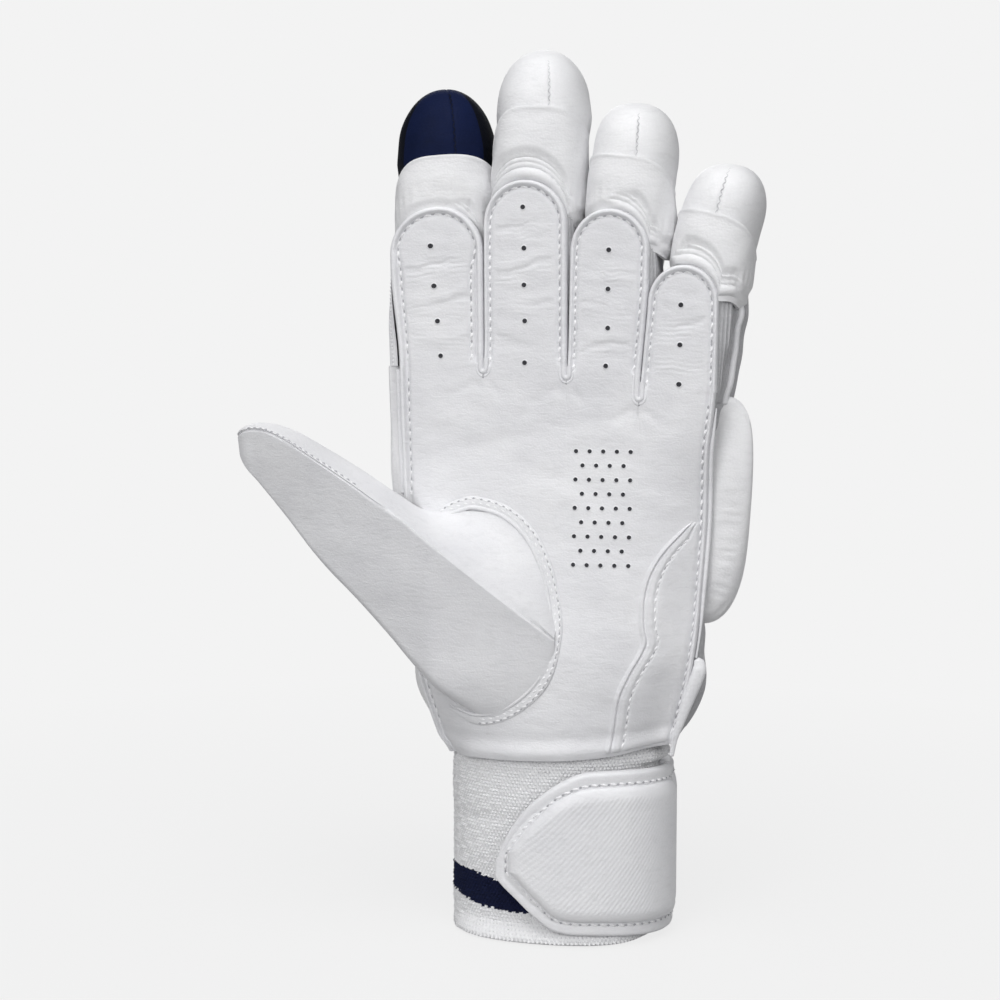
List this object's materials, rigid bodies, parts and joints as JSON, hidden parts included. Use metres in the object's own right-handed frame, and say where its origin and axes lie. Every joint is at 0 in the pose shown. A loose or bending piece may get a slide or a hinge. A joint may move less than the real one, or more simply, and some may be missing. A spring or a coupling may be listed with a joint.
{
  "type": "cricket batting glove",
  "caption": "Left-hand cricket batting glove with padded finger rolls, jointed fingers and thumb, leather palm, knit cuff and a wrist strap that opens.",
  "frame": {"origin": "on the surface the cuff's rim stands on, under the middle of the glove's bounding box", "axes": "+X from the thumb's side to the little finger's side, +Y from the palm to the back of the hand, +Z from the wrist to the fingertips"},
  "size_m": [0.1776, 0.0756, 0.3],
  "materials": {
    "white_leather": "white pebbled synthetic leather over foam, satin",
    "palm_leather": "off-white natural-grain palm leather, matt",
    "navy_leather": "navy synthetic leather, satin",
    "knit": "white chunky rib knit with a navy stripe, matt",
    "gusset_fabric": "pale grey ribbed fabric, matt",
    "tape": "grey hook-and-loop tape, matt",
    "guard": "grey fibre board, matt"
  },
  "bodies": {
    "hand": {"palm_leather": "palm_leather", "heel_patch": "palm_leather", "thumb_mound": "palm_leather", "thumb_welt": "white_leather", "back_panel": "gusset_fabric", "index_side_gusset": "gusset_fabric", "little_side_gusset": "gusset_fabric", "index_side_piping": "white_leather", "little_side_piping": "white_leather", "index_knuckle_roll": "white_leather", "middle_knuckle_roll": "white_leather", "ring_knuckle_roll": "white_leather", "little_knuckle_roll": "white_leather", "upper_backhand_roll": "white_leather", "lower_backhand_roll": "white_leather", "wrist_roll": "white_leather", "side_bolster": "white_leather", "cuff": "knit", "loop_tape": "tape", "strap_anchor": "white_leather"},
    "thumb": {"thumb_front": "palm_leather", "thumb_roll": "white_leather", "thumb_guard": "guard"},
    "strap": {"strap_tab": "white_leather", "strap_face": "white_leather", "hook_tape": "tape"},
    "index_base": {"index_front_lower": "palm_leather", "index_sleeve_lower": "gusset_fabric", "index_roll_lower": "white_leather"},
    "index_tip": {"index_front_upper": "palm_leather", "index_sleeve_upper": "gusset_fabric", "index_roll_upper": "white_leather", "index_tip_wrap": "white_leather", "index_tip_cap": "navy_leather"},
    "middle_base": {"middle_front_lower": "palm_leather", "middle_sleeve_lower": "gusset_fabric", "middle_roll_lower": "white_leather"},
    "middle_tip": {"middle_front_upper": "palm_leather", "middle_sleeve_upper": "gusset_fabric", "middle_roll_upper": "white_leather", "middle_tip_wrap": "white_leather", "middle_tip_cap": "white_leather"},
    "ring_base": {"ring_front_lower": "palm_leather", "ring_sleeve_lower": "gusset_fabric", "ring_roll_lower": "white_leather"},
    "ring_tip": {"ring_front_upper": "palm_leather", "ring_sleeve_upper": "gusset_fabric", "ring_roll_upper": "white_leather", "ring_tip_wrap": "white_leather", "ring_tip_cap": "white_leather"},
    "little_base": {"little_front_lower": "palm_leather", "little_sleeve_lower": "gusset_fabric", "little_roll_lower": "white_leather"},
    "little_tip": {"little_front_upper": "palm_leather", "little_sleeve_upper": "gusset_fabric", "little_roll_upper": "white_leather", "little_tip_wrap": "white_leather", "little_tip_cap": "white_leather"}
  },
  "joints": [
    {"name": "index_knuckle_bend", "type": "hinge", "parent": "hand", "child": "index_base", "pos_m": [-0.01932, -0.01558, 0.194], "axis": [1, 0, 0], "range_deg": [0, 70]},
    {"name": "index_middle_bend", "type": "hinge", "parent": "index_base", "child": "index_tip", "pos_m": [-0.02031, -0.01558, 0.22548], "axis": [1, 0, 0], "range_deg": [0, 80]},
    {"name": "middle_knuckle_bend", "type": "hinge", "parent": "hand", "child": "middle_base", "pos_m": [0.01168, -0.01558, 0.1933], "axis": [1, 0, 0], "range_deg": [0, 70]},
    {"name": "middle_middle_bend", "type": "hinge", "parent": "middle_base", "child": "middle_tip", "pos_m": [0.01232, -0.01558, 0.23029], "axis": [1, 0, 0], "range_deg": [0, 80]},
    {"name": "ring_knuckle_bend", "type": "hinge", "parent": "hand", "child": "ring_base", "pos_m": [0.03948, -0.01558, 0.1885], "axis": [1, 0, 0], "range_deg": [0, 70]},
    {"name": "ring_middle_bend", "type": "hinge", "parent": "ring_base", "child": "ring_tip", "pos_m": [0.04194, -0.01558, 0.22291], "axis": [1, 0, 0], "range_deg": [0, 80]},
    {"name": "little_knuckle_bend", "type": "hinge", "parent": "hand", "child": "little_base", "pos_m": [0.06448, -0.01558, 0.1835], "axis": [1, 0, 0], "range_deg": [0, 70]},
    {"name": "little_middle_bend", "type": "hinge", "parent": "little_base", "child": "little_tip", "pos_m": [0.06902, -0.01558, 0.21062], "axis": [1, 0, 0], "range_deg": [0, 80]},
    {"name": "thumb_bend", "type": "hinge", "parent": "hand", "child": "thumb", "pos_m": [-0.03267, -0.03838, 0.126], "axis": [0, 0, 1], "range_deg": [0, 40]},
    {"name": "strap_open", "type": "hinge", "parent": "hand", "child": "strap", "pos_m": [0.05968, 0.00112, 0.032], "axis": [0, 0, 1], "range_deg": [0, 130]}
  ]
}
